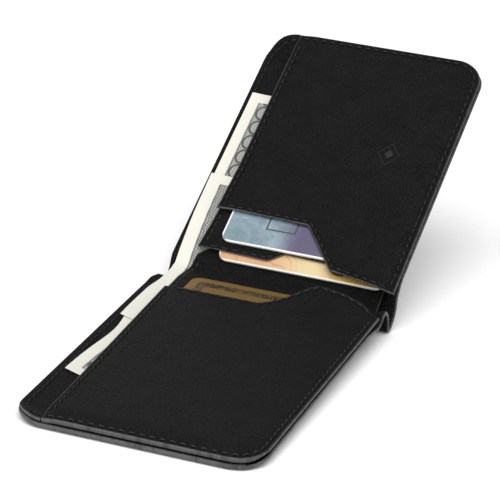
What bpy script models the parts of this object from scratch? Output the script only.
"""Bifold card holder: a leather cover in two halves, a note divider, card pockets, cards and notes.

Each half is a flat stack of leather in its own frame: x across the holder, y away from the fold,
n (the frame's z) down through the stack, with 0 on the inner face. Lengths below are in mm.
"""
import math

import bmesh
import bpy
from mathutils import Matrix, Vector
from mathutils.geometry import interpolate_bezier

MM = 0.001

# Driving dimensions
PANEL_W = 74.0            # cover width, along the fold
PANEL_L = 99.0            # one half, from the fold to its outer edge
CORNER_R = 10.0           # outer corners
STRIP_W = 10.0            # bare cover beside the divider's free edge
RIM_INSET = 0.4           # pockets and divider stop short of the cover's edge
LEATHER = 0.8             # front pockets
THIN_LEATHER = 0.5        # divider and second pocket
COVER_T = 1.0
CARD_W, CARD_L, CARD_T, CARD_R = 53.98, 85.6, 0.76, 3.18
NOTE_W, NOTE_T = 66.0, 0.15
OPEN_NOTE_L, HALVED_NOTE_L = 156.0, 80.0
LAYER_GAP = 0.2
NOTE_GAP = 0.15
STITCH_ROOM = 0.4         # between the notes and the cover, over the cover's own stitches

# How the two halves stand to each other
TILT = math.radians(2.7)          # the lower half rises to the fold
OPEN_RISE = math.radians(27.5)    # the upper half rises from the lower half's plane
UPPER_Y, UPPER_N = 13.0, 2.0      # the upper half's fold edge in the lower half's frame
CLOSED_GAP = 4.4                  # between the inner faces when the holder is shut
SPINE_LOW = 9.65                  # lowest point of the spine loop under the inner face

# Stitching
THREAD_W, THREAD_H = 0.6, 0.1
THREAD_LIFT = 0.05
SEAM_INSET = 2.2

LEFT_X = -PANEL_W / 2 + STRIP_W               # divider's free left edge
RIGHT_X = PANEL_W / 2 - RIM_INSET
OUTER_Y = PANEL_L - RIM_INSET


def layers(thicknesses, gaps):
    """Top and bottom depth of each layer of a stack, from the inner face down."""
    depth = 0.0
    spans = []
    for thickness, gap in zip(thicknesses, gaps):
        spans.append((-depth, -depth - thickness))
        depth += thickness + gap
    return spans


LOWER_STACK = dict(zip(
    ("front", "card", "divider", "note_a", "note_b", "cover"),
    layers((LEATHER, CARD_T, THIN_LEATHER, NOTE_T, NOTE_T, COVER_T),
           (LAYER_GAP, LAYER_GAP, NOTE_GAP, NOTE_GAP, STITCH_ROOM, 0.0))))
UPPER_STACK = dict(zip(
    ("front", "front_card", "second", "second_card", "divider", "note_a", "note_b", "cover"),
    layers((LEATHER, CARD_T, THIN_LEATHER, CARD_T, THIN_LEATHER, NOTE_T, NOTE_T, COVER_T),
           (LAYER_GAP, LAYER_GAP, LAYER_GAP, LAYER_GAP, NOTE_GAP, NOTE_GAP, STITCH_ROOM, 0.0))))


# ---------------------------------------------------------------- frames

def half_frames():
    """World frames of the two halves: near edge and spine on the ground, origin mid-length."""
    lower = Matrix.Rotation(TILT, 4, "X")
    upper = lower @ Matrix.Translation(Vector((0, UPPER_Y, UPPER_N)) * MM) @ Matrix.Rotation(OPEN_RISE, 4, "X")
    near = lower @ (Vector((0, -PANEL_L, LOWER_STACK["cover"][1])) * MM)
    near_top = lower @ (Vector((0, -PANEL_L, LOWER_STACK["cover"][0])) * MM)
    far = upper @ (Vector((0, PANEL_L, UPPER_STACK["cover"][0])) * MM)
    far_low = upper @ (Vector((0, PANEL_L, UPPER_STACK["cover"][1])) * MM)
    middle = (min(near.y, near_top.y) + max(far.y, far_low.y)) / 2
    shift = Matrix.Translation(Vector((0, -middle, -near.z)))
    return shift @ lower, shift @ upper


def fold_axis():
    """(y, n) in the lower frame of the line about which the upper half shuts onto the lower one."""
    turn = Matrix.Rotation(math.pi - OPEN_RISE, 2)
    edge = Vector((UPPER_Y, UPPER_N))
    shut_edge = Vector((0.0, CLOSED_GAP))
    return (Matrix.Identity(2) - turn).inverted() @ (shut_edge - turn @ edge)


LOWER, UPPER = half_frames()


# ---------------------------------------------------------------- tools

def material(name, colour, roughness, metallic=0.0):
    mat = bpy.data.materials.new(name)
    mat.use_nodes = True
    shader = mat.node_tree.nodes["Principled BSDF"]
    shader.inputs["Base Color"].default_value = (*colour, 1.0)
    shader.inputs["Roughness"].default_value = roughness
    shader.inputs["Metallic"].default_value = metallic
    mat.diffuse_color = (*colour, 1.0)
    return mat


def add_part(name, mesh, frame, mat, parent=None):
    """One named object for one sub-part, in its frame and under its joint's empty."""
    part = bpy.data.objects.new(name, mesh)
    PARTS.objects.link(part)
    mesh.materials.append(mat)
    part.parent = parent
    if parent:
        part.matrix_parent_inverse = parent.matrix_world.inverted()
    part.matrix_world = frame
    return part


def fillet(corners, steps=6):
    """Outline points of a polygon of (x, y, radius) corners, each radius a round arc."""
    points = []
    for i, (x, y, radius) in enumerate(corners):
        here = Vector((x, y))
        if radius == 0:
            points.append(here)
            continue
        before = (Vector(corners[i - 1][:2]) - here).normalized()
        after = (Vector(corners[(i + 1) % len(corners)][:2]) - here).normalized()
        half = before.angle(after) / 2
        centre = here + (before + after).normalized() * radius / math.sin(half)
        start = here + before * radius / math.tan(half) - centre
        sweep = (here + after * radius / math.tan(half) - centre).angle_signed(start)
        points += [centre + Matrix.Rotation(sweep * k / steps, 2) @ start for k in range(steps + 1)]
    return points


def filled_curve_mesh(name, points, thickness):
    """Closed mesh of a flat outline with the given thickness about z = 0."""
    curve = bpy.data.curves.new(name, "CURVE")
    curve.dimensions = "2D"
    curve.fill_mode = "BOTH"
    curve.extrude = thickness * MM / 2
    spline = curve.splines.new("POLY")
    spline.points.add(len(points) - 1)
    for slot, (x, y) in zip(spline.points, points):
        slot.co = (x * MM, y * MM, 0, 1)
    spline.use_cyclic_u = True
    holder = bpy.data.objects.new(name + "_outline", curve)
    PARTS.objects.link(holder)
    bpy.context.view_layer.update()
    mesh = bpy.data.meshes.new_from_object(holder.evaluated_get(bpy.context.evaluated_depsgraph_get()))
    bpy.data.objects.remove(holder)
    mesh.name = name
    shape = bmesh.new()
    shape.from_mesh(mesh)
    bmesh.ops.remove_doubles(shape, verts=shape.verts, dist=1e-7)
    bmesh.ops.dissolve_limit(shape, angle_limit=0.002, verts=shape.verts, edges=shape.edges)
    bmesh.ops.recalc_face_normals(shape, faces=shape.faces)
    shape.to_mesh(mesh)
    shape.free()
    mesh.materials.clear()
    return mesh


def soften(part, width, segments=2):
    """Round the rims of a plate; the shallow steps of its arcs stay."""
    bevel = part.modifiers.new("rim", "BEVEL")
    bevel.width = width * MM
    bevel.segments = segments
    bevel.limit_method = "ANGLE"
    bevel.angle_limit = math.radians(50)


def plate(name, corners, span, frame, mat, parent=None, rim=0.0):
    """A flat layer: outline corners (x, y, radius) between the two depths of span."""
    top, bottom = span
    mesh = filled_curve_mesh(name, fillet(corners), top - bottom)
    mesh.transform(Matrix.Translation((0, 0, (top + bottom) / 2 * MM)))
    part = add_part(name, mesh, frame, mat, parent)
    if rim:
        soften(part, rim)
    return part


def smooth_line(knots, steps=4):
    """Points of a smooth curve through the (y, n) knots, with Catmull-Rom tangents."""
    line = [Vector((*k, 0)) for k in knots]
    slopes = [(line[min(i + 1, len(line) - 1)] - line[max(i - 1, 0)]) / 6 for i in range(len(line))]
    points = [line[0]]
    for i in range(len(line) - 1):
        span = interpolate_bezier(line[i], line[i] + slopes[i], line[i + 1] - slopes[i + 1], line[i + 1], steps + 1)
        points += span[1:]
    return [p.xy for p in points]


def bent_strip(name, knots, thickness, x_range, frame, mat, parent=None):
    """A sheet bent along a smooth (y, n) line, of even thickness, between two x values."""
    mesh = filled_curve_mesh(name, offset_line(smooth_line(knots), thickness), x_range[1] - x_range[0])
    to_profile = Matrix(((0, 0, 1, 0), (1, 0, 0, 0), (0, 1, 0, 0), (0, 0, 0, 1)))
    mesh.transform(Matrix.Translation((sum(x_range) / 2 * MM, 0, 0)) @ to_profile)
    return add_part(name, mesh, frame, mat, parent)


def pairs(points):
    return zip(points, points[1:])


def offset_line(points, thickness):
    """Both sides of a line, half a thickness away, as one closed outline."""
    left, right = [], []
    for i, point in enumerate(points):
        along = (points[min(i + 1, len(points) - 1)] - points[max(i - 1, 0)]).normalized()
        across = Vector((-along.y, along.x)) * thickness / 2
        left.append(point + across)
        right.append(point - across)
    return left + right[::-1]


def seam(name, path, surface, frame, mat, parent=None):
    """One seam's thread, as a flat run lying just over the surface depth."""
    mesh = filled_curve_mesh(name, offset_line(path, THREAD_W), THREAD_H)
    mesh.transform(Matrix.Translation((0, 0, (surface + THREAD_LIFT + THREAD_H / 2) * MM)))
    return add_part(name, mesh, frame, mat, parent)


def facing(corners, side):
    """Corners of an outline drawn for y away from the fold: side -1 is the lower half."""
    turned = [(x, y * side, r) for x, y, r in corners]
    return turned if side > 0 else turned[::-1]


# ---------------------------------------------------------------- shared outlines

def cover_corners():
    half = PANEL_W / 2
    return [(-half, 1.5, 0), (half, 1.5, 0), (half, PANEL_L, CORNER_R), (-half, PANEL_L, CORNER_R)]


def divider_corners():
    inner_r = CORNER_R - RIM_INSET
    return [(LEFT_X, 0.3, 0), (RIGHT_X, 0.3, 0), (RIGHT_X, OUTER_Y, inner_r), (LEFT_X, OUTER_Y, 1.5)]


def pocket_corners(mouth):
    """A pocket's outline: the divider's outer edges and a shaped mouth, left to right."""
    inner_r = CORNER_R - RIM_INSET
    return mouth + [(RIGHT_X, OUTER_Y, inner_r), (LEFT_X, OUTER_Y, 1.5)]


def card_corners(left_x, edge_y):
    far = edge_y + CARD_L
    return [(left_x, edge_y, CARD_R), (left_x + CARD_W, edge_y, CARD_R),
            (left_x + CARD_W, far, CARD_R), (left_x, far, CARD_R)]


LOWER_MOUTH = [(LEFT_X, 6.0, 0), (1.5, 5.4, 9.0), (10.5, -4.2, 6.0), (19.0, -4.6, 8.0), (RIGHT_X, -0.6, 0)]
UPPER_MOUTH = [(LEFT_X, 21.0, 0), (1.6, 20.4, 2.0), (15.0, 4.9, 5.0), (RIGHT_X, 1.3, 0)]
SECOND_MOUTH = [(LEFT_X, 5.4, 0), (-6.5, 5.2, 2.0), (-2.5, 8.4, 2.0), (RIGHT_X, 6.6, 0)]
GOLD_LEFT, GOLD_EDGE = -24.2, -6.2
BLUE_LEFT, BLUE_EDGE = -22.6, 9.4
PEACH_LEFT, PEACH_EDGE = -21.6, 3.2
HALVED_NOTE_LEFT, HALVED_NOTE_UPPER = -36.0, 37.2
OPEN_NOTE_LEFT, OPEN_NOTE_UPPER = -35.2, 73.4


# ---------------------------------------------------------------- leather

def covers(mat, fold):
    plate("cover_lower", facing(cover_corners(), -1), LOWER_STACK["cover"], LOWER, mat, rim=0.35)
    plate("cover_upper", cover_corners(), UPPER_STACK["cover"], UPPER, mat, fold, rim=0.35)


def spine_end():
    """(y, n) in the lower frame of the point on the upper cover's middle where the spine meets it."""
    middle = sum(UPPER_STACK["cover"]) / 2
    return upper_in_lower(1.2, middle)


def upper_in_lower(y, n):
    place = LOWER.inverted() @ UPPER @ (Vector((0, y, n)) * MM)
    return place.y / MM, place.z / MM


def cover_spine(mat):
    """The cover's slack between the halves: over a low crest, down to the ground and up again."""
    middle = sum(LOWER_STACK["cover"]) / 2
    low = -SPINE_LOW + COVER_T / 2
    end_y, end_n = spine_end()
    knots = [(-1.2, middle), (2.5, middle + 0.1), (6.2, middle - 0.8), (8.2, middle - 3.2), (9.6, low + 0.4),
             (11.0, low), (12.6, low + 0.5), (14.6, low + 3.2), (end_y - 0.5, end_n - 1.2), (end_y, end_n)]
    half = PANEL_W / 2
    return bent_strip("cover_spine", knots, COVER_T, (-half, half), LOWER, mat)


def dividers(mat, fold):
    """The sheet between the cards and the notes, in three lengths: lower, across the fold, upper."""
    plate("divider_lower", facing(divider_corners(), -1), LOWER_STACK["divider"], LOWER, mat, rim=0.15)
    plate("divider_upper", divider_corners(), UPPER_STACK["divider"], UPPER, mat, fold, rim=0.15)
    bent_strip("divider_fold", sagging("divider"), THIN_LEATHER, (LEFT_X, RIGHT_X), LOWER, mat)


def sagging(layer):
    """Knots of a layer's length across the fold: level past the gold card's edge, then up."""
    low_n = sum(LOWER_STACK[layer]) / 2
    high_n = sum(UPPER_STACK[layer]) / 2
    return [(0.0, low_n), (-GOLD_EDGE + 1.0, low_n - 0.1), upper_in_lower(0.0, high_n)]


def pockets(mat, fold):
    plate("pocket_lower", facing(pocket_corners(LOWER_MOUTH), -1), LOWER_STACK["front"], LOWER, mat, rim=0.25)
    plate("pocket_upper_front", pocket_corners(UPPER_MOUTH), UPPER_STACK["front"], UPPER, mat, fold, rim=0.25)
    plate("pocket_upper_second", pocket_corners(SECOND_MOUTH), UPPER_STACK["second"], UPPER, mat, fold, rim=0.15)


# ---------------------------------------------------------------- stitching

def rim_path(first_y):
    """Through all layers: down the right side, round the corner, along the outer edge."""
    x, y = PANEL_W / 2 - SEAM_INSET, PANEL_L - SEAM_INSET
    corners = [(x, first_y, 0), (x, y, CORNER_R - SEAM_INSET), (LEFT_X + 0.8, y, 0), (x - 20, first_y, 0)]
    return fillet(corners)[:-1]


def strip_path():
    """Along the bare strip of the cover: the outer edge, the left corner and the left side."""
    x, y = PANEL_W / 2 - SEAM_INSET, PANEL_L - SEAM_INSET
    corners = [(LEFT_X + 0.8, y, 0), (-x, y, CORNER_R - SEAM_INSET), (-x, 2.2, 0), (LEFT_X, 2.2, 0)]
    return fillet(corners)[:-1]


def mouth_path(mouth, inset=2.0):
    """Just inside a pocket's shaped mouth."""
    corners = [(x, y + inset, r) for x, y, r in mouth]
    corners[0] = (LEFT_X + 3.4, corners[0][1], 0)
    corners[-1] = (RIGHT_X - 4.2, corners[-1][1], 0)
    return fillet(corners + [(0, 60, 0)])[:-1]


def lower_seams(mat):
    flip = Matrix.Diagonal((1, -1))
    left = [Vector((LEFT_X + 1.7, 8.6)), Vector((LEFT_X + 1.7, OUTER_Y - 4.2))]
    top = LOWER_STACK["front"][0]
    for name, path, surface in (("seam_lower_rim", rim_path(2.0), top), ("seam_lower_left", left, top),
                                ("seam_lower_mouth", mouth_path(LOWER_MOUTH), top),
                                ("seam_lower_strip", strip_path(), LOWER_STACK["cover"][0])):
        seam(name, [flip @ p for p in path], surface, LOWER, mat)


def upper_seams(mat, fold):
    left = [Vector((LEFT_X + 1.7, 23.6)), Vector((LEFT_X + 1.7, OUTER_Y - 4.2))]
    top = UPPER_STACK["front"][0]
    second = mouth_path(SECOND_MOUTH)
    second[-1] = Vector((11.0, second[-1].y))
    for name, path, surface in (("seam_upper_rim", rim_path(3.8), top), ("seam_upper_left", left, top),
                                ("seam_upper_mouth", mouth_path(UPPER_MOUTH), top),
                                ("seam_second_mouth", second, UPPER_STACK["second"][0]),
                                ("seam_upper_strip", strip_path(), UPPER_STACK["cover"][0])):
        seam(name, path, surface, UPPER, mat, fold)


# ---------------------------------------------------------------- contents

def cards(mats, fold):
    plate("card_gold", facing(card_corners(GOLD_LEFT, GOLD_EDGE), -1), LOWER_STACK["card"], LOWER, mats["gold"])
    plate("card_blue", card_corners(BLUE_LEFT, BLUE_EDGE), UPPER_STACK["front_card"], UPPER, mats["blue"], fold)
    plate("card_peach", card_corners(PEACH_LEFT, PEACH_EDGE), UPPER_STACK["second_card"], UPPER, mats["peach"], fold)


def note(letter, length, left_x, upper_y, mat, fold):
    """One banknote across the fold, in three lengths that add up to its whole length."""
    knots = sagging("note_" + letter)
    across = sum((b - a).length for a, b in pairs(smooth_line(knots)))
    lower_y = length - upper_y - across
    right_x = left_x + NOTE_W

    def corners(far_y):
        return [(left_x, 0.3, 0), (right_x, 0.3, 0), (right_x, far_y, 0), (left_x, far_y, 0)]

    plate(f"note_{letter}_lower", facing(corners(lower_y), -1), LOWER_STACK["note_" + letter], LOWER, mat)
    plate(f"note_{letter}_upper", corners(upper_y), UPPER_STACK["note_" + letter], UPPER, mat, fold)
    bent_strip(f"note_{letter}_fold", knots, NOTE_T, (left_x, right_x), LOWER, mat)


# ---------------------------------------------------------------- assembly

for old in list(bpy.data.objects):
    bpy.data.objects.remove(old)
PARTS = bpy.data.collections.new("card_holder")
bpy.context.scene.collection.children.link(PARTS)

axis_y, axis_n = fold_axis()
fold_empty = bpy.data.objects.new("fold_axis", None)
PARTS.objects.link(fold_empty)
fold_empty.matrix_world = LOWER @ Matrix.Translation(Vector((0, axis_y, axis_n)) * MM)
bpy.context.view_layer.update()

cover_leather = material("cover_leather", (0.014, 0.014, 0.015), 0.5)
pocket_leather = material("pocket_leather", (0.017, 0.017, 0.018), 0.5)
thread = material("thread", (0.01, 0.01, 0.01), 0.6)
note_paper = material("note_paper", (0.72, 0.71, 0.66), 0.8)
card_plastic = {
    "gold": material("card_gold", (0.26, 0.15, 0.03), 0.35),
    "blue": material("card_blue", (0.32, 0.34, 0.5), 0.3),
    "peach": material("card_peach", (0.8, 0.6, 0.35), 0.3),
}

covers(cover_leather, fold_empty)
cover_spine(cover_leather)
dividers(pocket_leather, fold_empty)
pockets(pocket_leather, fold_empty)
lower_seams(thread)
upper_seams(thread, fold_empty)
cards(card_plastic, fold_empty)
note("a", HALVED_NOTE_L, HALVED_NOTE_LEFT, HALVED_NOTE_UPPER, note_paper, fold_empty)
note("b", OPEN_NOTE_L, OPEN_NOTE_LEFT, OPEN_NOTE_UPPER, note_paper, fold_empty)
